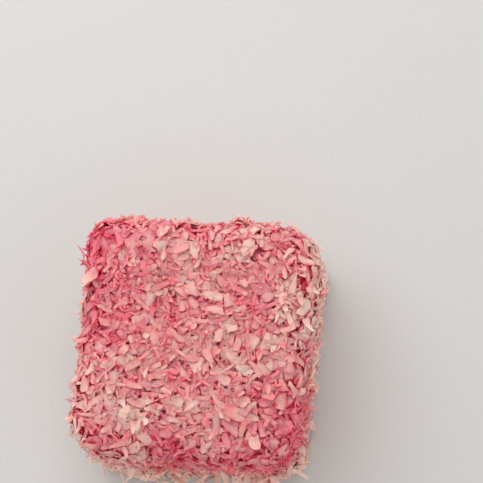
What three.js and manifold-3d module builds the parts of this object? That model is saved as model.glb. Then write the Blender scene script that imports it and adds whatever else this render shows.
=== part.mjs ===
// A lamington cake: a squared block of sponge, soaked in raspberry syrup and rolled all over in
// shredded coconut. It is one piece, so it is one solid: the coated block with its largest coconut
// flakes fused on. Millimetres, +Z up, the origin under the middle of the cake on the surface that
// it stands on, +X to its right and +Y away from its near side.
import * as THREE from "three";
import { ImprovedNoise } from "three/addons/math/ImprovedNoise.js";
import { mergeVertices } from "three/addons/utils/BufferGeometryUtils.js";
import Module from "manifold-3d";

const wasm = await Module();
wasm.setup();

// The coated block, without the flakes that stand out of it.
const FAR_WIDTH = 60.5; // across the far side
const NEAR_WIDTH = 57; // across the near side, where the right wall leans in
const DEPTH = 62.5;
const HEIGHT = 40.5;
const CORNERS = { farLeft: 6.5, farRight: 13, nearLeft: 13, nearRight: 9 }; // radii seen from above
const RIM_RADIUS = 7; // where the walls turn into the top
const FOOT_RADIUS = 5; // where the walls turn under
const FOOT_CUT = 1; // how much of the foot's curve the flat base cuts off
const SWELL = 0.8; // how far the walls stand out at mid height
const LUMPS = { height: 1.0, pitch: 11 }; // soft swellings of the syrup coat
const CRAGS = { height: 0.5, spread: 0.3 }; // rough relief of the small shreds in the coat
const FACET = 4.1; // spacing of the coat's facets

// The largest flakes.
const FLAKE_COUNT = 290;
const FLAKE_SPACING = 5.5; // least distance between the roots of two flakes
const FLAKE_LENGTH = [4.4, 6.8];
const FLAKE_WIDTH = [1.6, 2.9];
const FLAKE_THICKNESS = [0.6, 0.9];
const FLAKE_KEEL = [-0.6, 0.6]; // where the thickest line of the underside runs across the flake
const FLAKE_TAPER = [0.45, 0.9]; // width of the tip as a share of the root's
const FLAKE_SKEW = [-0.5, 0.5]; // how far the tip is cut on the slant
const FLAKE_CURL = [-0.7, 1.0]; // how far the tip bends out of the flake's plane
const LYING_TILT = [10, 22]; // degrees between a flake and the coat under it
const STANDING_TILT = [22, 32];
const STANDING_SHARE = 0.25; // of the flakes
const ROOT_DEPTH = 0.5; // how deep the root sits in the coat

const COAT = new THREE.MeshStandardMaterial({ color: 0xe08e92, roughness: 0.62, metalness: 0 });

// A seeded random number from 0 to 1.
function seededRandom(seed) {
  let state = seed;
  return () => {
    state = (state + 0x6d2b79f5) | 0;
    let mixed = Math.imul(state ^ (state >>> 15), 1 | state);
    mixed = (mixed + Math.imul(mixed ^ (mixed >>> 7), 61 | mixed)) ^ mixed;
    return ((mixed ^ (mixed >>> 14)) >>> 0) / 2 ** 32;
  };
}

const random = seededRandom(1901);
const between = ([low, high]) => low + (high - low) * random();
const randomVector = () => new THREE.Vector3(random() - 0.5, random() - 0.5, random() - 0.5);

const noise = new ImprovedNoise();

// Where the right wall stands at a place along the depth. The left wall is square to the near side.
function rightWall(y) {
  const towardsFar = THREE.MathUtils.clamp(y / DEPTH + 0.5, 0, 1);
  return THREE.MathUtils.lerp(NEAR_WIDTH, FAR_WIDTH, towardsFar) - FAR_WIDTH / 2;
}

// How far a point lies outside the block's outline seen from above.
function outlineDistance(x, y) {
  const radius = CORNERS[(y > 0 ? "far" : "near") + (x > 0 ? "Right" : "Left")];
  const overX = (x > 0 ? x - rightWall(y) : -x - FAR_WIDTH / 2) + radius;
  const overY = Math.abs(y) - DEPTH / 2 + radius;
  const inside = Math.min(Math.max(overX, overY), 0);
  return Math.hypot(Math.max(overX, 0), Math.max(overY, 0)) + inside - radius;
}

// How far a point lies outside the coated block.
function blockDistance(p) {
  const up = THREE.MathUtils.clamp(p.z / HEIGHT, 0, 1);
  const radius = up > 0.5 ? RIM_RADIUS : FOOT_RADIUS;
  const overWall = outlineDistance(p.x, p.y) - SWELL * Math.sin(Math.PI * up) + radius;
  const overTop = (up > 0.5 ? p.z - HEIGHT : -p.z - FOOT_CUT) + radius;
  const outside = Math.hypot(Math.max(overWall, 0), Math.max(overTop, 0));
  const lump = LUMPS.height * noise.noise(p.x / LUMPS.pitch, p.y / LUMPS.pitch, p.z / LUMPS.pitch);
  const aboveFoot = THREE.MathUtils.smoothstep(p.z, 0, 5);
  return outside + Math.min(Math.max(overWall, overTop), 0) - radius - lump * aboveFoot;
}

// The way out of the block at a point.
function outward(p) {
  const reach = 0.05;
  const slope = new THREE.Vector3();
  for (const axis of ["x", "y", "z"]) {
    const ahead = p.clone();
    const behind = p.clone();
    ahead[axis] += reach;
    behind[axis] -= reach;
    slope[axis] = blockDistance(ahead) - blockDistance(behind);
  }
  return slope.normalize();
}

// Moves a point straight out or in until it lies on the block's surface.
function settleOnBlock(p) {
  for (let step = 0; step < 8; step++) p.addScaledVector(outward(p), -blockDistance(p));
  return p;
}

// A geometry with its corners shared and nothing but their places kept.
function bareGeometry(geometry) {
  const bare = geometry.clone();
  bare.deleteAttribute("normal");
  bare.deleteAttribute("uv");
  return mergeVertices(bare, 1e-4);
}

// The coated block: a grid of facets settled on its form, each corner then pushed out or in by a
// little, which gives the craggy surface of packed shreds.
function blockGeometry() {
  const cells = (length) => Math.round(length / FACET);
  const box = new THREE.BoxGeometry(
    FAR_WIDTH, DEPTH, HEIGHT, cells(FAR_WIDTH), cells(DEPTH), cells(HEIGHT),
  );
  box.translate(0, 0, HEIGHT / 2 - FOOT_CUT);
  const block = bareGeometry(box);
  const corners = block.getAttribute("position");
  const p = new THREE.Vector3();
  for (let i = 0; i < corners.count; i++) {
    p.fromBufferAttribute(corners, i);
    const isFoot = p.z < 0;
    p.addScaledVector(randomVector(), isFoot ? 0 : 2 * CRAGS.spread * FACET);
    settleOnBlock(p);
    if (!isFoot) p.addScaledVector(outward(p), CRAGS.height * between([-1, 1]));
    corners.setXYZ(i, p.x, p.y, p.z);
  }
  return block;
}

// One coconut flake: a thin tapered sliver whose root is at the origin and whose tip is along +X.
function flakeGeometry() {
  const length = between(FLAKE_LENGTH);
  const halfWidth = between(FLAKE_WIDTH) / 2;
  const thickness = between(FLAKE_THICKNESS);
  const section = new THREE.Shape([
    new THREE.Vector2(-halfWidth, 0),
    new THREE.Vector2(halfWidth * between(FLAKE_KEEL), -thickness),
    new THREE.Vector2(halfWidth, 0),
  ]);
  const sliver = new THREE.ExtrudeGeometry(section, { depth: length, steps: 2, bevelEnabled: false });
  const taper = between(FLAKE_TAPER);
  const skew = between(FLAKE_SKEW);
  const curl = between(FLAKE_CURL);
  const corners = sliver.getAttribute("position");
  for (let i = 0; i < corners.count; i++) {
    const [across, up, forward] = [corners.getX(i), corners.getY(i), corners.getZ(i)];
    const along = forward / length;
    corners.setXYZ(
      i, forward + skew * across * along, across * (1 - (1 - taper) * along), up + curl * along * along,
    );
  }
  return sliver;
}

// The matrix that roots a flake in the coat, its tip leaning out by a tilt in degrees.
function flakePlace(root, tilt) {
  const normal = outward(root);
  const heading = randomVector().projectOnPlane(normal).normalize();
  const lean = THREE.MathUtils.degToRad(tilt);
  const lengthways = heading.multiplyScalar(Math.cos(lean)).addScaledVector(normal, Math.sin(lean));
  const widthways = new THREE.Vector3().crossVectors(normal, lengthways).normalize();
  const through = new THREE.Vector3().crossVectors(lengthways, widthways);
  const place = new THREE.Matrix4().makeBasis(lengthways, widthways, through);
  return place.setPosition(root.clone().addScaledVector(normal, -ROOT_DEPTH));
}

// Points spread evenly over the block's walls and top, no two nearer than the flakes' spacing.
function flakeRoots() {
  const roots = [];
  const lowest = 1;
  const triesForEach = 400;
  for (let tries = 0; roots.length < FLAKE_COUNT && tries < FLAKE_COUNT * triesForEach; tries++) {
    const p = randomVector().multiply(new THREE.Vector3(FAR_WIDTH, DEPTH, HEIGHT));
    p.z += HEIGHT / 2;
    if (blockDistance(p) < -RIM_RADIUS) continue;
    settleOnBlock(p);
    if (p.z < lowest) continue;
    if (roots.every((other) => other.distanceTo(p) > FLAKE_SPACING)) roots.push(p);
  }
  return roots;
}

function solidOf(geometry) {
  const bare = bareGeometry(geometry);
  return new wasm.Manifold(new wasm.Mesh({
    numProp: 3,
    vertProperties: bare.getAttribute("position").array,
    triVerts: new Uint32Array(bare.index.array),
  }));
}

// The largest closed body of a solid: loose scraps are dropped and sealed hollows are filled.
function wholeBody(solid) {
  return solid.decompose().sort((a, b) => b.volume() - a.volume())[0];
}

function geometryOf(solid) {
  const { vertProperties, triVerts } = solid.getMesh();
  const geometry = new THREE.BufferGeometry();
  geometry.setAttribute("position", new THREE.BufferAttribute(vertProperties, 3));
  geometry.setIndex(new THREE.BufferAttribute(triVerts, 1));
  geometry.computeVertexNormals();
  return geometry;
}

function coatedCake() {
  let cake = solidOf(blockGeometry());
  for (const root of flakeRoots()) {
    const tilt = between(random() < STANDING_SHARE ? STANDING_TILT : LYING_TILT);
    cake = cake.add(solidOf(flakeGeometry().applyMatrix4(flakePlace(root, tilt))));
  }
  const roomBelow = 20;
  const underBase = new THREE.BoxGeometry(3 * FAR_WIDTH, 3 * DEPTH, roomBelow);
  underBase.translate(0, 0, -roomBelow / 2);
  const body = geometryOf(wholeBody(cake.subtract(solidOf(underBase))));
  body.computeBoundingBox();
  const middle = body.boundingBox.getCenter(new THREE.Vector3());
  return body.translate(-middle.x, -middle.y, 0);
}

const cake = new THREE.Mesh(coatedCake(), COAT);
cake.name = "coconut_coated_cake";

const lamington = new THREE.Group();
lamington.add(cake);

export default lamington;
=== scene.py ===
"""The looks of a lamington cake: a squared sponge soaked in raspberry syrup and rolled all over in
shredded coconut. The script runs in Blender. Everything is in metres, +Z up, and stands on z = 0."""

import math

import bpy
import numpy as np
from mathutils import Matrix, Vector, kdtree, noise


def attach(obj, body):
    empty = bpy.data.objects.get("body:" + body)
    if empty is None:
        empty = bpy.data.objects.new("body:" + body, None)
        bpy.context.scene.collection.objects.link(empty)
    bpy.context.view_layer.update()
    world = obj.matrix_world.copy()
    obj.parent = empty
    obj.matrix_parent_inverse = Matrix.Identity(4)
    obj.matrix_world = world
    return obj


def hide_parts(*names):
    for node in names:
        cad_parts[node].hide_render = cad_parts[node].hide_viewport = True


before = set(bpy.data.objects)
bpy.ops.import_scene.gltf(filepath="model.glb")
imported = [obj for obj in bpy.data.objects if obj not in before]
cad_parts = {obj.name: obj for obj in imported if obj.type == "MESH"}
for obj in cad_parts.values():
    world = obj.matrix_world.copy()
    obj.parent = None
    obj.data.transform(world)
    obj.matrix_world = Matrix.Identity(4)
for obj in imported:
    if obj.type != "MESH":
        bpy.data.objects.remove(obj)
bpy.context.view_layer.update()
CAKE = "coconut_coated_cake"


# --- The sponge ------------------------------------------------------------------------------------
# A cut square of sponge, dipped whole in raspberry syrup, which soaks in and sets to a wet, deep red
# skin. Its corners are rounded by handling, each by its own amount, its near side is narrower than the
# far one, and it is pressed flat underneath. The coconut covers it all over.

MM = 0.001
COAT_DEPTH = 1.75 * MM  # of coconut over the sponge
FAR_WIDTH = 61.9 * MM - 2 * COAT_DEPTH
NEAR_WIDTH = 57.9 * MM - 2 * COAT_DEPTH
DEPTH = 63.0 * MM - 2 * COAT_DEPTH
TOP = 40.5 * MM - COAT_DEPTH
OFF_CENTRE = (1.0 * MM, 0.4 * MM)  # as the flakes reach further on two sides than on the others
FOOT = 0.7 * MM  # room for the coconut pressed under the cake
CORNERS = {(-1, 1): 4.0 * MM, (1, 1): 9.5 * MM, (-1, -1): 10.0 * MM, (1, -1): 7.5 * MM}
RIM_RADIUS = 5.5 * MM
FOOT_RADIUS = 4.5 * MM
CUT_AWAY = 1.8 * MM  # from under the block once it is rounded, so that it stands flat
CORNER_STEPS = 6
ROUNDING_STEPS = 4
MESH_STEP = 1.0 * MM  # of the block, before it gets its lumps
FINE_MESH_STEP = 0.9 * MM  # and before it gets its crumb
LUMPS = (12 * MM, 1.1 * MM)  # pitch and height
CRUMB = (2.4 * MM, 0.25 * MM)  # pitch and height


def select_where(piece, kind, wanted):
    """In edit mode, selects the vertices or edges of which every end passes the test."""
    bpy.ops.mesh.select_mode(type={"vertices": "VERT", "edges": "EDGE"}[kind])
    bpy.ops.mesh.select_all(action="DESELECT")
    bpy.ops.object.mode_set(mode="OBJECT")
    corners = piece.data.vertices
    for item in getattr(piece.data, kind):
        ends = item.vertices if kind == "edges" else [item.index]
        item.select = bool(wanted([corners[i].co for i in ends]))
    bpy.ops.object.mode_set(mode="EDIT")


def cut_sponge():
    """The block with its corners, rim and foot rounded, and its near side narrower."""
    bpy.ops.object.select_all(action="DESELECT")
    bpy.ops.mesh.primitive_cube_add(size=1)
    block = bpy.context.object
    block.name = "soaked_sponge"
    height = TOP - FOOT + CUT_AWAY
    middle = TOP - height / 2
    almost_half = 0.49 * height
    bpy.ops.object.mode_set(mode="EDIT")
    bpy.ops.transform.resize(value=(FAR_WIDTH, DEPTH, height))
    bpy.ops.transform.translate(value=(*OFF_CENTRE, middle))
    select_where(block, "vertices", lambda ends: ends[0].x > 0 and ends[0].y < 0)
    bpy.ops.transform.translate(value=(NEAR_WIDTH - FAR_WIDTH, 0, 0))
    for (right, far), radius in CORNERS.items():
        select_where(
            block,
            "edges",
            lambda ends: all(end.x * right > 0 and end.y * far > 0 for end in ends)
            and abs(ends[0].z - ends[1].z) > height / 2,
        )
        bpy.ops.mesh.bevel(offset=radius, segments=CORNER_STEPS, affect="EDGES")
    for up, radius in ((1, RIM_RADIUS), (-1, FOOT_RADIUS)):
        select_where(
            block, "edges", lambda ends: all((end.z - middle) * up > almost_half for end in ends)
        )
        bpy.ops.mesh.bevel(offset=radius, segments=ROUNDING_STEPS, affect="EDGES")
    bpy.ops.object.mode_set(mode="OBJECT")
    return block


def shape_with(piece, kind, **settings):
    """Adds a modifier of this kind to the piece, sets it and applies it."""
    modifier = piece.modifiers.new(kind.title(), kind)
    for name, value in settings.items():
        setattr(modifier, name, value)
    bpy.context.view_layer.objects.active = piece
    bpy.ops.object.modifier_apply(modifier=modifier.name)


def swell(piece, name, pitch, height):
    """Raises and sinks the piece's surface in soft swellings of this pitch and height."""
    swellings = bpy.data.textures.new(name, "CLOUDS")
    swellings.noise_scale = pitch
    swellings.noise_depth = 1
    shape_with(piece, "DISPLACE", texture=swellings, strength=2 * height, mid_level=0.5)


def surface_of(piece):
    """The piece's vertices, their normals and its triangles, as arrays."""
    mesh = piece.data
    mesh.calc_loop_triangles()
    places = np.empty(3 * len(mesh.vertices))
    normals = np.empty(3 * len(mesh.vertices))
    triangles = np.empty(3 * len(mesh.loop_triangles), int)
    mesh.vertices.foreach_get("co", places)
    mesh.vertices.foreach_get("normal", normals)
    mesh.loop_triangles.foreach_get("vertices", triangles)
    return places.reshape(-1, 3), normals.reshape(-1, 3), triangles.reshape(-1, 3)


sponge = cut_sponge()
shape_with(sponge, "REMESH", mode="VOXEL", voxel_size=MESH_STEP)
swell(sponge, "sponge_lumps", *LUMPS)
bpy.ops.object.mode_set(mode="EDIT")
bpy.ops.mesh.select_all(action="SELECT")
bpy.ops.mesh.bisect(plane_co=(0, 0, FOOT), plane_no=(0, 0, 1), use_fill=True, clear_inner=True)
bpy.ops.object.mode_set(mode="OBJECT")
shape_with(sponge, "REMESH", mode="VOXEL", voxel_size=FINE_MESH_STEP)
sponge_surface = surface_of(sponge)
swell(sponge, "sponge_crumb", *CRUMB)
bpy.ops.object.shade_smooth()


class Value:
    """A socket of a finish. Arithmetic on it adds Math nodes."""

    def __init__(self, finish, socket):
        self.finish = finish
        self.socket = socket

    def maths(self, operation, first, second):
        return self.finish.node("Math", {"operation": operation}, {0: first, 1: second})

    def __add__(self, other):
        return self.maths("ADD", self, other)

    def __sub__(self, other):
        return self.maths("SUBTRACT", self, other)

    def __rsub__(self, other):
        return self.maths("SUBTRACT", other, self)

    def __mul__(self, other):
        return self.maths("MULTIPLY", self, other)

    __radd__ = __add__
    __rmul__ = __mul__


class Finish:
    """A material, built up node by node."""

    def __init__(self, name):
        self.material = bpy.data.materials.new(name)
        self.material.use_nodes = True
        self.tree = self.material.node_tree
        self.tree.nodes.clear()

    def node(self, kind, settings=(), sockets=(), output=0):
        """Adds a node, first set and then fed with values or links, and returns one of its outputs."""
        node = self.tree.nodes.new("ShaderNode" + kind)
        for name, value in dict(settings).items():
            if name == "stops":
                for stop, (place, colour) in zip(self.stops(node.color_ramp, len(value)), value):
                    stop.position = place
                    stop.color = (*colour, 1)
            else:
                setattr(node, name, value)
        for name, value in dict(sockets).items():
            if isinstance(value, Value):
                self.tree.links.new(value.socket, node.inputs[name])
            else:
                node.inputs[name].default_value = value
        return Value(self, node.outputs[output]) if node.outputs else None

    def stops(self, ramp, count):
        """The stops of a colour ramp, as many as asked for."""
        while len(ramp.elements) < count:
            ramp.elements.new(1)
        return ramp.elements

    def put_on(self, piece, shader):
        """Ends the material with its shader and gives it to the piece."""
        self.node("OutputMaterial", {}, {"Surface": shader})
        piece.data.materials.append(self.material)


SYRUP_STAIN = [  # from coconut that the syrup hardly reached to the wet crimson of the sponge
    (0.00, (0.905, 0.69, 0.60)),
    (0.14, (0.90, 0.57, 0.505)),
    (0.27, (0.89, 0.46, 0.425)),
    (0.50, (0.88, 0.28, 0.32)),
    (0.75, (0.86, 0.13, 0.20)),
    (1.00, (0.80, 0.045, 0.11)),
]
PORE_PITCH = 1.6 * MM
POOL_PITCH = 9 * MM


def syrup_skin():
    """The wet skin of the sponge, deeper and glossier in pools, with the pores of the crumb."""
    finish = Finish("syrup_soaked_sponge")
    place = finish.node("TexCoord", output="Object")
    crumb = finish.node("TexNoise", {}, {"Vector": place, "Scale": 1 / PORE_PITCH, "Detail": 4.0})
    pools = finish.node("TexNoise", {}, {"Vector": place, "Scale": 1 / POOL_PITCH, "Detail": 2.0})
    stain = finish.node("ValToRGB", {"stops": SYRUP_STAIN}, {"Fac": 0.5 + pools * 0.35 + crumb * 0.25})
    pores = finish.node("Bump", {}, {"Height": crumb, "Distance": 0.5 * MM, "Strength": 0.6})
    return finish, finish.node(
        "BsdfPrincipled",
        {},
        {
            "Base Color": stain,
            "Roughness": 0.3 + pools * 0.25,
            "Normal": pores,
            "Subsurface Weight": 0.5,
            "Subsurface Radius": (1.0, 0.25, 0.2),
            "Subsurface Scale": 1.5 * MM,
        },
    )


skin, skin_shader = syrup_skin()
skin.put_on(sponge, skin_shader)
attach(sponge, "root")
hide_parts(CAKE)


# --- The soaked coconut next to the sponge ---------------------------------------------------------
# Desiccated coconut, in flakes less than half a millimetre thick. The first ones lie in the wet syrup
# skin and drink it up, limp and deep pink. Each is laid where the coat is still thin, on what lies
# there already, so they lie across each other as they do when the cake is rolled in them.

rng = np.random.default_rng(1901)
POINTS_ON_SPONGE = 90000
TRIES = 7  # places looked at for each flake, of which the barest is taken
THICKEST_COAT = 3.2 * MM
REACH = 0.55  # of a flake's length, within which it can touch what lies there
SAME_SIDE = 0.1  # least cosine of the angle between a flake's base and what it lies on
STEEP_SIDE = 0.4  # least cosine for the height that a flake adds to such a place
STEEPEST = 0.5  # slope of a flake that lies across an edge or a heap
SAGS_LESS = 0.6  # of its bend over a heap, that a flake bends into a hollow
CARRIED_BY = 0.74  # of the points under a third of a flake are no higher than what carries it
PRESSED_IN = 0.10 * MM  # how far a flake lies in what carries it
DROOP = 0.3 * MM  # of a third with nothing under it, below the lowest point under the others
UNDERSIDE = 0.8 * MM  # over the sponge's foot, lower than which no flake of the walls takes hold
DRY_SPOTS_GET = 1.9 * MM  # more coconut for each whole unit that the syrup under them is less
BURIED_SOAK_AND_SHADE = 0.58  # more stain a millimetre under the top of the coat: syrup nearer the sponge, and painted shade of the hollows
CLUMPS = 7 * MM  # pitch at which the coat is patchy
CLUMPS_DIFFER = 0.30  # in syrup, at the most
WALLS_LESS = 0.09  # syrup on an upright wall than on the top
FOOT_LESS = 0.12  # syrup at the foot, and less so up to FOOT_ENDS
FOOT_ENDS = 20 * MM
DRIEST_CLUMP = -0.22  # on a wall, before the patches
TOP_CLUMPS_WETTER = 0.16  # at the driest, than those on a wall
DRIEST_PATCH = -0.26  # on a wall
TOP_PATCHES_WETTER = 0.14  # at the driest, than those on a wall
SYRUP_PATCHES = [  # middle and radius in millimetres, and how much more syrup has come through
    ((-27, 22, 38), 11, 0.40),
    ((-19, 20, 40), 6, -0.16),
    ((-23, 2, 38), 10, 0.28),
    ((-21, -8, 40), 10, -0.20),
    ((-27, -27, 18), 13, -0.20),
    ((-2, -31, 30), 11, 0.40),
    ((20, -31, 27), 12, 0.34),
    ((30, -18, 25), 14, 0.42),
    ((31, 14, 32), 15, -0.26),
    ((10, 12, 40), 12, 0.10),
    ((-8, 30, 24), 12, 0.14),
]


def syrup_at(places, normals):
    """How much more syrup than on average has come through to the coconut at these places."""
    level = np.clip(normals[:, 2], 0, 1)
    more = np.array([CLUMPS_DIFFER * noise.noise(Vector(place / CLUMPS)) for place in places])
    more -= WALLS_LESS * np.clip(1 - normals[:, 2], 0, 1)
    more -= FOOT_LESS * np.clip(1 - places[:, 2] / FOOT_ENDS, 0, 1)
    more = np.maximum(more, DRIEST_CLUMP + TOP_CLUMPS_WETTER * level)
    for middle, radius, extra in SYRUP_PATCHES:
        away = np.linalg.norm(places - np.array(middle) * MM, axis=1) / (radius * MM)
        more += extra * np.exp(-(away**2))
    return np.maximum(more, DRIEST_PATCH + TOP_PATCHES_WETTER * level)


class Coat:
    """The coat as it builds up: points all over the sponge, each with the height of coconut there."""

    def __init__(self, surface, count):
        places, normals, triangles = surface
        corners = places[triangles]
        areas = np.linalg.norm(
            np.cross(corners[:, 1] - corners[:, 0], corners[:, 2] - corners[:, 0]), axis=1
        )
        chosen = triangles[rng.choice(len(triangles), count, p=areas / areas.sum())]
        shares = rng.dirichlet((1, 1, 1), count)[:, :, None]
        self.places = (places[chosen] * shares).sum(1)
        self.normals = (normals[chosen] * shares).sum(1)
        self.normals /= np.linalg.norm(self.normals, axis=1)[:, None]
        self.heights = np.zeros(count)
        self.syrup = syrup_at(self.places, self.normals)
        self.open = np.flatnonzero(self.places[:, 2] > FOOT + UNDERSIDE)
        self.tree = kdtree.KDTree(count)
        for index, place in enumerate(self.places):
            self.tree.insert(place, index)
        self.tree.balance()

    def buried(self, spots):
        """How far under the top of the finished coat these spots lie."""
        nearest = np.array([self.tree.find(spot)[1] for spot in spots])
        over_sponge = ((spots - self.places[nearest]) * self.normals[nearest]).sum(1)
        return self.heights[nearest] - over_sponge

    def barest(self):
        """Of some open points, the one that lacks the most coconut."""
        tries = rng.choice(self.open, TRIES)
        return tries[np.argmin(self.heights[tries] + self.syrup[tries] * DRY_SPOTS_GET)]

    def lay(self, root, heading, length, width, thickness, limpness, lift):
        """Lays a flake at a point, each third of it on what lies there, and returns its two directions
        and how its middle line runs: its height over the sponge, its slope and its bend."""
        normal = self.normals[root]
        along = np.cross(normal, heading)
        along /= np.linalg.norm(along)
        across = np.cross(normal, along)
        near = self.tree.find_range(self.places[root], REACH * length)
        near = np.array([index for _, index, _ in near])
        offset = self.places[near] - self.places[root]
        forward = offset @ along
        below = offset @ normal
        facing = self.normals[near] @ normal
        under = (abs(forward) < length / 2) & (abs(offset @ across) < width / 2)
        under &= facing > SAME_SIDE
        near, forward, below, facing = near[under], forward[under], below[under], facing[under]
        tops = below + self.heights[near] * facing
        third = length / 3
        rests = []
        for start in (-1.5, -0.5, 0.5):
            here = np.sort(tops[(forward > start * third) & (forward < (start + 1) * third)])
            rests.append(here[int(CARRIED_BY * len(here))] if len(here) else tops.min() - DROOP)
        tail, middle, tip = rests
        slope = np.clip((tip - tail) / (2 * third), -STEEPEST, STEEPEST)
        ends = max(tail + slope * third, tip - slope * third)
        bend = np.clip(middle - ends, -SAGS_LESS * limpness * length, limpness * length)
        base = max(ends, middle - bend) - PRESSED_IN
        surface = base + slope * forward + bend * (1 - (forward / third) ** 2) + thickness
        covered = forward < (0 if lift else length)
        height = (surface - below) / np.maximum(facing, STEEP_SIDE)
        grown = np.maximum(self.heights[near], height)
        self.heights[near[covered]] = np.minimum(grown, THICKEST_COAT)[covered]
        return along, across, base + thickness / 2, slope, bend


def flake_pattern(widths, rows):
    """One flake a unit long, wide and thick: a bar cut across into lengths, each end of them as wide as
    said, and lengthways into rows. Returns its vertices, its faces, which way each face looks, and
    for each vertex the number that it shares with the one above or below it."""
    bpy.ops.object.select_all(action="DESELECT")
    bpy.ops.mesh.primitive_cube_add(size=1)
    flake = bpy.context.object
    bpy.ops.object.mode_set(mode="EDIT")
    stations = np.linspace(-0.5, 0.5, len(widths))
    for station in stations[1:-1]:
        bpy.ops.mesh.select_all(action="SELECT")
        bpy.ops.mesh.bisect(plane_co=(station, 0, 0), plane_no=(1, 0, 0))
    for row in np.linspace(-0.5, 0.5, rows + 1)[1:-1]:
        bpy.ops.mesh.select_all(action="SELECT")
        bpy.ops.mesh.bisect(plane_co=(0, row, 0), plane_no=(0, 1, 0))
    for station, width in zip(stations, widths):
        select_where(flake, "vertices", lambda ends: abs(ends[0].x - station) < 0.01)
        bpy.ops.transform.resize(value=(1, width, 1))
    bpy.ops.object.mode_set(mode="OBJECT")
    mesh = flake.data
    places = np.array([vertex.co for vertex in mesh.vertices])
    faces = np.array([face.vertices[:] for face in mesh.polygons])
    looks = np.array([round(face.normal.z) for face in mesh.polygons])
    bpy.data.objects.remove(flake)
    pillars = np.unique(places[:, :2].round(3), axis=0, return_inverse=True)[1].ravel()
    return places, faces, looks, pillars


TOP_FIELD = ((0.03, 0.06), (0.60, 0.88))  # corner and size in the flake's own field
UNDER_FIELD = ((0.69, 0.06), (0.27, 0.88))
TOP_WITHIN_EDGE = 0.84


def own_fields(pattern, count):
    """Where each flake's faces lie on the piece's map. Each flake has a field of its own, with its top
    and the edge round it on the left and its underside on the right."""
    places, faces, looks, _ = pattern
    corners = places[faces]
    plan = corners[:, :, :2] + 0.5
    shrunk = np.where(corners[:, :, 2:] > 0, 0.5 + TOP_WITHIN_EDGE * (plan - 0.5), plan)
    left = shrunk * TOP_FIELD[1] + TOP_FIELD[0]
    right = plan * UNDER_FIELD[1] + UNDER_FIELD[0]
    field = np.where(looks[:, None, None] < 0, right, left)
    columns = math.ceil(math.sqrt(count / 2))
    rows = math.ceil(count / columns)
    number = np.arange(count)
    start = np.stack([number % columns, number // columns], 1)[:, None, None, :]
    return (start + field[None]) / (columns, rows)


FLAKES_DIFFER = {  # in shares of a flake's width or length
    "taper": (-0.25, 0.55),  # narrower towards its tip
    "slant": (-0.45, 0.45),  # of its cut ends
    "sway": (-0.12, 0.12),  # of its middle, to one side
    "curl": (-0.09, 0.10),  # of its long edges, upwards
    "twist": (-0.28, 0.28),
    "tip": (-0.03, 0.09),  # turned up
}
LIMPNESS_SHARES = (0.4, 1.0)  # from flake to flake, of the kind's limpness
MOST_RAGGED = 1.8  # standard deviations
RAGGED_ENDS = 0.35  # of how ragged the sides are
THIN_EDGES = 1.4
OFF_THE_TABLE = (0.12, 0.4)  # millimetres, of the middle of a flake that lies on it
LEFT_THICK = 0.2  # millimetres, of a flake that lies on the table
SOAK_DIFFERS = (0.06, 0.12, 0.10)  # from flake to flake, along a flake and across it
ENDS_SOAK_AND_SHADE = 0.7  # of what the long edges do, in syrup and painted shade alike
GRAIN_LENGTH = 100 * MM  # in which each flake takes its own place
SHARP_EDGE = math.radians(50)
LIFT_SLOPES = (0.1, 0.5)


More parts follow.
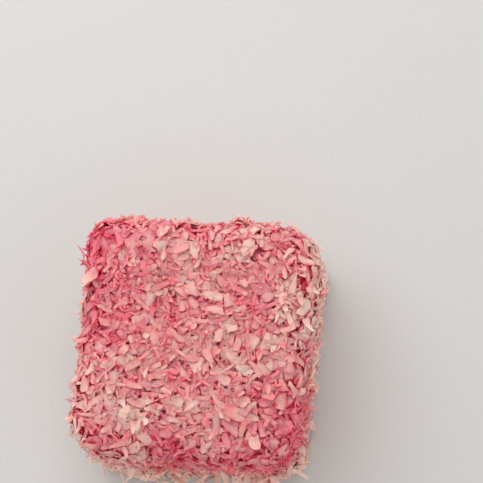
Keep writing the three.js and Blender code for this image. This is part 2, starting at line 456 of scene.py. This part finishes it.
class Flakes:
    """A kind of flake: how it is laid, and the piece that all the flakes of the kind make."""

    def __init__(self, name, pattern, length, width, count, soaked, **habits):
        self.name = name
        self.pattern = pattern
        self.length = length
        self.width = width
        self.count = count
        self.soaked = soaked
        self.habits = {
            "thickness": (0.22 * MM, 0.36 * MM),
            "limpness": 0.22,
            "ragged": 0.13,
            # pinker long edges and ends: syrup wicking in, and painted shade where flakes meet
            "edge_soak": 0.15,
            "tip_soak": 0.0,
        } | habits
        self.laid = []

    def lay_on(self, coat, root, heading, lift):
        """Lays one flake of the kind, with its tip lifted by this slope."""
        length = rng.uniform(*self.length)
        width = rng.uniform(*self.width)
        thickness = rng.uniform(*self.habits["thickness"])
        limpness = self.habits["limpness"] * rng.uniform(*LIMPNESS_SHARES)
        line = coat.lay(root, heading, length, width, thickness, limpness, lift)
        self.laid.append((length, width, thickness, lift, root, *line))

    def scatter_on(self, coat, lifted=0.0):
        """Lays one flake where the coat is bare. This share of them is lifted at the tip."""
        lift = rng.uniform(*LIFT_SLOPES) if rng.random() < lifted else 0
        self.lay_on(coat, coat.barest(), rng.normal(size=3), lift)

    def join(self, coat):
        """Makes the piece: each flake tapered, cut on the slant, curled and twisted by its own amount,
        and the more stained the deeper it is buried, with syrup and with painted shade in the hollows,
        and the more syrup has come through there."""
        count = len(self.laid)
        length, width, thickness, lift, root, along, across, base, slope, bend = (
            np.array(column) for column in zip(*self.laid)
        )
        length, width, thickness, lift, base, slope, bend = (
            value[:, None] for value in (length, width, thickness, lift, base, slope, bend)
        )
        a, b, c = self.pattern[0].T
        pillars = self.pattern[3]
        ragged = rng.normal(0, 1, (count, pillars.max() + 1, 2))[:, pillars]
        ragged = np.clip(ragged, -MOST_RAGGED, MOST_RAGGED) * self.habits["ragged"]
        taper, slant, sway, curl, twist, tip = (
            rng.uniform(low, high, (count, 1)) for low, high in FLAKES_DIFFER.values()
        )
        wide = width * b * (1 - taper * (a + 0.5)) * (1 + ragged[:, :, 0])
        forward = length * (a + RAGGED_ENDS * width / length * ragged[:, :, 1])
        forward = forward + slant * wide * 2 * abs(a)
        wide = wide + sway * length * (0.5 - 2 * a**2)
        thirds = forward / (length / 3)
        up = base + slope * forward + bend * (1 - thirds**2) + lift * (forward + length / 2)
        up = up + length * tip * np.clip(2 * a, 0, 1) ** 2
        up = up + width * (curl * 4 * b**2 + twist * a * b)
        up = up + thickness * c * (1 - THIN_EDGES * b**2)
        places = (
            coat.places[root][:, None]
            + forward[:, :, None] * along[:, None]
            + wide[:, :, None] * across[:, None]
            + up[:, :, None] * coat.normals[root][:, None]
        )
        over = np.where(coat.normals[root][:, 2:] < 0, -c, c)
        lowest = (rng.uniform(*OFF_THE_TABLE, (count, 1)) + LEFT_THICK * over) * MM
        places[:, :, 2] = np.maximum(places[:, :, 2], lowest)
        # Deeper in the coat, more stain: partly syrup nearer the sponge, partly painted shade in the
        # hollows between flakes.
        buried = coat.buried(places.reshape(-1, 3)).reshape(count, -1)
        soak = self.soaked + coat.syrup[root][:, None] + BURIED_SOAK_AND_SHADE * np.clip(buried / MM, -0.1, 1)
        by_flake, along_it, across_it = SOAK_DIFFERS
        soak = soak + rng.normal(0, by_flake, (count, 1)) + rng.normal(0, along_it, (count, 1)) * a
        soak = soak + rng.normal(0, across_it, (count, 1)) * b
        # Pinker towards its long edges and ends: partly syrup wicking in, partly painted shade where
        # flakes meet.
        soak = soak + self.habits["edge_soak"] * ((2 * b) ** 2 + ENDS_SOAK_AND_SHADE * (2 * a) ** 4)
        soak = soak + self.habits["tip_soak"] * (a + 0.5)
        shift = rng.uniform(0, GRAIN_LENGTH, (count, 1))
        grain = np.stack([length * a + shift, width * b, shift + 0 * a], 2)
        return self.piece(places, soak, grain)

    def piece(self, places, soak, grain):
        """One mesh of all the flakes, with their soak and painted shade, their grain and their fields
        on its map.
        """
        vertices, faces = self.pattern[:2]
        count = len(places)
        numbers = faces[None] + np.arange(count)[:, None, None] * len(vertices)
        mesh = bpy.data.meshes.new(self.name)
        mesh.from_pydata(places.reshape(-1, 3).tolist(), [], numbers.reshape(-1, 4).tolist())
        mesh.attributes.new("soak", "FLOAT", "POINT").data.foreach_set("value", soak.ravel())
        mesh.attributes.new("grain", "FLOAT_VECTOR", "POINT").data.foreach_set("vector", grain.ravel())
        fields = mesh.uv_layers.new(name="OFBake")
        fields.uv.foreach_set("vector", own_fields(self.pattern, count).ravel())
        piece = bpy.data.objects.new(self.name, mesh)
        bpy.context.collection.objects.link(piece)
        bpy.ops.object.select_all(action="DESELECT")
        piece.select_set(True)
        bpy.context.view_layer.objects.active = piece
        bpy.ops.object.shade_smooth_by_angle(angle=SHARP_EDGE)
        return piece


PATCH_PITCH = 13 * MM
PATCHES_STAIN = 0.35
SPOT_PITCH = 2.5 * MM
SPOTS_STAIN = 0.4
FIBRE_PITCH = 3.0 * MM  # along a flake
FIBRES_STAIN = 0.34
FIBRES_ACROSS = 9.0  # times as many as along it
FIBRE_HEIGHT = 0.25 * MM
WET_STAINS = (0.35, 0.95)  # where a film of syrup begins to show, and where it is whole
WHOLE_FILM = 0.6


def coconut_finish(name):
    """Moist coconut, stained by the syrup in patches, with the grain of its fibres along each flake."""
    finish = Finish(name)
    place = finish.node("TexCoord", output="Object")
    # The flakes' stain from syrup, with painted shade where they lie buried and where they meet.
    soak = finish.node("Attribute", {"attribute_name": "soak"}, output="Fac")
    grain = finish.node("Attribute", {"attribute_name": "grain"}, output="Vector")
    patches = finish.node("TexNoise", {}, {"Vector": place, "Scale": 1 / PATCH_PITCH, "Detail": 2.0})
    spots = finish.node("TexNoise", {}, {"Vector": place, "Scale": 1 / SPOT_PITCH, "Detail": 1.0})
    stretched = finish.node("Mapping", {}, {"Vector": grain, "Scale": (1.0, FIBRES_ACROSS, 1.0)})
    fibres = finish.node("TexNoise", {}, {"Vector": stretched, "Scale": 1 / FIBRE_PITCH, "Detail": 3.0})
    stain = soak + (patches - 0.5) * PATCHES_STAIN + (spots - 0.5) * SPOTS_STAIN
    stain = stain + (fibres - 0.5) * FIBRES_STAIN
    colour = finish.node("ValToRGB", {"stops": SYRUP_STAIN}, {"Fac": stain})
    wet = finish.node(
        "MapRange",
        {},
        {
            "Value": stain,
            "From Min": WET_STAINS[0],
            "From Max": WET_STAINS[1],
            "To Min": 0.0,
            "To Max": WHOLE_FILM,
        },
    )
    bump = finish.node("Bump", {}, {"Height": fibres, "Distance": FIBRE_HEIGHT, "Strength": 0.6})
    shader = finish.node(
        "BsdfPrincipled",
        {"subsurface_method": "BURLEY"},
        {
            "Base Color": colour,
            "Roughness": 0.64 - stain * 0.38,
            "Normal": bump,
            "Specular IOR Level": 0.35,
            "Coat Weight": wet,
            "Coat Roughness": 0.16,
            "Coat IOR": 1.4,
            "Subsurface Weight": 0.8,
            "Subsurface Radius": (1.0, 0.7, 0.65),
            "Subsurface Scale": 1.3 * MM,
        },
    )
    return finish, shader


def coat_piece(kind):
    """The kind's flakes as a finished piece of the coat."""
    piece = kind.join(coat)
    finish, shader = coconut_finish(kind.name)
    finish.put_on(piece, shader)
    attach(piece, "root")
    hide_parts(CAKE)


coat = Coat(sponge_surface, POINTS_ON_SPONGE)
limp_shape = flake_pattern((0.6, 0.95, 1.0, 0.94, 0.55), 2)
soaked_flakes = Flakes(
    "soaked_flakes",
    limp_shape,
    (3.2 * MM, 6.0 * MM),
    (1.6 * MM, 2.8 * MM),
    count=2300,
    soaked=0.62,
    limpness=0.3,
)
for number in range(soaked_flakes.count):
    soaked_flakes.scatter_on(coat)


# --- The flakes, shreds, chips and bits on top -------------------------------------------------------
# The coconut that stuck last and lies driest and palest: mostly flakes, some of them wedge-shaped,
# with long shreds, broad chips and fine bits among them. Some stand up a little at one end.

STANDING_SHARE = 0.12  # of all but the bits
flake_shape = flake_pattern((0.64, 0.9, 1.0, 1.0, 0.97, 0.88, 0.6), 2)
wedge_shape = flake_pattern((0.9, 1.0, 0.9, 0.76, 0.6, 0.4), 2)
chip_shape = flake_pattern((0.62, 0.9, 1.0, 0.98, 0.88, 0.6), 3)
shred_shape = flake_pattern((0.6, 0.9, 1.0, 1.0, 0.85, 0.5), 1)
bit_shape = flake_pattern((0.7, 1.0, 0.6), 1)
flakes = Flakes(
    "coconut_flakes",
    flake_shape,
    (2.8 * MM, 5.2 * MM),
    (1.0 * MM, 2.1 * MM),
    count=1600,
    soaked=0.19,
    ragged=0.15,
)
wedges = Flakes(
    "coconut_wedges",
    wedge_shape,
    (2.8 * MM, 5.0 * MM),
    (1.4 * MM, 2.5 * MM),
    count=1400,
    soaked=0.19,
    ragged=0.14,
)
chips = Flakes(
    "coconut_chips",
    chip_shape,
    (3.2 * MM, 4.8 * MM),
    (2.2 * MM, 3.3 * MM),
    count=600,
    soaked=0.16,
    ragged=0.18,
)
shreds = Flakes(
    "coconut_shreds",
    shred_shape,
    (4.2 * MM, 6.6 * MM),
    (0.9 * MM, 1.6 * MM),
    count=600,
    soaked=0.20,
    limpness=0.25,
)
bits = Flakes(
    "coconut_bits",
    bit_shape,
    (0.9 * MM, 2.6 * MM),
    (0.35 * MM, 1.0 * MM),
    count=3000,
    soaked=0.24,
    ragged=0.2,
)
upper = [kind for kind in (flakes, wedges, chips, shreds) for number in range(kind.count)]
for number in rng.permutation(len(upper)):
    upper[number].scatter_on(coat, lifted=STANDING_SHARE)
for number in range(bits.count):
    bits.scatter_on(coat)


# --- The fringe round the foot -----------------------------------------------------------------------
# Pale flakes that slid down the walls while the coat was wet. They hang over the foot of the cake all
# round, every way, and one end of each stands out, some only a little and some a lot.

NEAR_LEFT = np.array((-0.6, -0.8, 0))  # where the fringe is thickest and stands out furthest
FRINGE_HEIGHTS = (2, 5, 16)  # millimetres: lowest, commonest and highest
HEADINGS_DIFFER = 1.3
ROUND_THE_SIDES = 0.4  # sine of the angle by which a wall that gets more fringe may turn away
FAR_SIDE_SHARE = 0.35  # of a flake on the other walls, for each one at the near left
STANDS_OUT = 0.35  # most slope of a flake of the fringe
NEAR_LEFT_STANDS_OUT = 0.5  # more
fringe = Flakes(
    "foot_fringe",
    chip_shape,
    (2.2 * MM, 5.8 * MM),
    (0.8 * MM, 2.8 * MM),
    count=340,
    soaked=0.22,
    ragged=0.16,
    edge_soak=0.04,
    tip_soak=-0.10,
)
low = coat.open[coat.places[coat.open, 2] < rng.triangular(*FRINGE_HEIGHTS, len(coat.open)) * MM]
facing = np.clip(ROUND_THE_SIDES + coat.normals[low] @ NEAR_LEFT, 0, 1)
shares = FAR_SIDE_SHARE + (1 - FAR_SIDE_SHARE) * facing
for number in rng.choice(len(low), fringe.count, p=shares / shares.sum()):
    root = low[number]
    sideways = np.cross(coat.normals[root], (0, 0, 1)) + rng.normal(0, HEADINGS_DIFFER, 3)
    steepest = STANDS_OUT + NEAR_LEFT_STANDS_OUT * facing[number]
    fringe.lay_on(coat, root, sideways, lift=rng.uniform(0, steepest))


# --- The coconut pressed under the cake --------------------------------------------------------------
# Flakes squeezed flat between the sponge and the tray it was set down on, soaked and lying every way.
# The pieces of the coat are made last, because how deep a flake is buried is only known then.

PRESSED_THICKNESS = 0.35 * MM
PRESSED_LAYER = (0.1, 0.5)  # millimetres under the sponge's foot
FOOT_TOP = 0.3 * MM  # over the sponge's foot, up to which its points count as under the cake
pressed = Flakes(
    "pressed_flakes",
    limp_shape,
    (3.2 * MM, 6.2 * MM),
    (1.4 * MM, 2.6 * MM),
    count=1300,
    soaked=0.75,
)
foot_points = np.flatnonzero(coat.places[:, 2] < FOOT + FOOT_TOP)
for number in range(pressed.count):
    root = foot_points[rng.integers(len(foot_points))]
    length = rng.uniform(*pressed.length)
    width = rng.uniform(*pressed.width)
    heading = rng.uniform(0, math.tau)
    along = np.array((math.cos(heading), math.sin(heading), 0))
    across = np.array((math.sin(heading), -math.cos(heading), 0))
    under = rng.uniform(*PRESSED_LAYER) * MM
    pressed.laid.append((length, width, PRESSED_THICKNESS, 0, root, along, across, under, 0, 0))

for kind in (soaked_flakes, flakes, wedges, chips, shreds, bits, fringe, pressed):
    coat_piece(kind)


# --- The floor, the lights and the camera -----------------------------------------------------------
# A pale studio table under soft light from the far left. The camera looks down on the cake from its
# near right, almost from straight above.

FLOOR_SIDE = 3.0
ROOM_LIGHT = 0.5
bpy.ops.object.select_all(action="DESELECT")
bpy.ops.mesh.primitive_plane_add(size=FLOOR_SIDE)
floor = bpy.context.object
floor.name = "studio_floor"
paint = Finish("pale_table")
paint_shader = paint.node(
    "BsdfPrincipled", {}, {"Base Color": (0.8, 0.8, 0.79, 1), "Roughness": 0.7}
)
paint.put_on(floor, paint_shader)


def soft_light(name, place, size, power):
    """A square light at this place that shines on the cake."""
    bpy.ops.object.light_add(type="AREA", location=place)
    light = bpy.context.object
    light.name = name
    light.data.size = size
    light.data.energy = power
    light.rotation_euler = (Vector(place) - Vector((0, 0, TOP / 2))).to_track_quat("Z", "Y").to_euler()


soft_light("key_light", (-0.16, 0.32, 0.44), 0.7, 2.0)
soft_light("fill_light", (0.55, -0.35, 0.45), 0.6, 0.3)
world = bpy.data.worlds.new("pale_room")
bpy.context.scene.world = world
world.use_nodes = True
background = world.node_tree.nodes["Background"]
background.inputs["Color"].default_value = (1.0, 0.975, 0.95, 1)
background.inputs["Strength"].default_value = ROOM_LIGHT
bpy.context.scene.view_settings.view_transform = "Standard"

IMAGE_SIDE = 483  # pixels
CAKE_IN_IMAGE = (200, 351)  # pixels from the left and from the top
PIXELS_PER_RADIAN = 1310
VIEW_AZIMUTH = math.radians(40)
VIEW_ELEVATION = math.radians(80)
VIEW_ROLL = math.radians(4)
VIEW_DISTANCE = 0.35
SENSOR = 36.0  # millimetres
aim = Vector((0, 0, 20 * MM))
towards_camera = Vector(
    (
        math.sin(VIEW_AZIMUTH) * math.cos(VIEW_ELEVATION),
        -math.cos(VIEW_AZIMUTH) * math.cos(VIEW_ELEVATION),
        math.sin(VIEW_ELEVATION),
    )
)
upright = Vector((0, 1, 0)) - towards_camera * towards_camera.y
upright.normalize()
sideways = upright.cross(towards_camera)
upright = upright * math.cos(VIEW_ROLL) - sideways * math.sin(VIEW_ROLL)
sideways = upright.cross(towards_camera)
centred = Matrix((sideways, upright, towards_camera)).transposed()
off_centre = Vector(
    (CAKE_IN_IMAGE[0] - IMAGE_SIDE / 2, IMAGE_SIDE / 2 - CAKE_IN_IMAGE[1], -PIXELS_PER_RADIAN)
)
turned = off_centre.rotation_difference(Vector((0, 0, -1))).to_matrix()
bpy.ops.object.camera_add(location=aim + towards_camera * VIEW_DISTANCE)
camera = bpy.context.object
camera.name = "camera"
camera.rotation_euler = (centred @ turned).to_euler()
camera.data.sensor_width = SENSOR
camera.data.lens = SENSOR * PIXELS_PER_RADIAN / IMAGE_SIDE
camera.data.clip_start = 0.01
bpy.context.scene.camera = camera
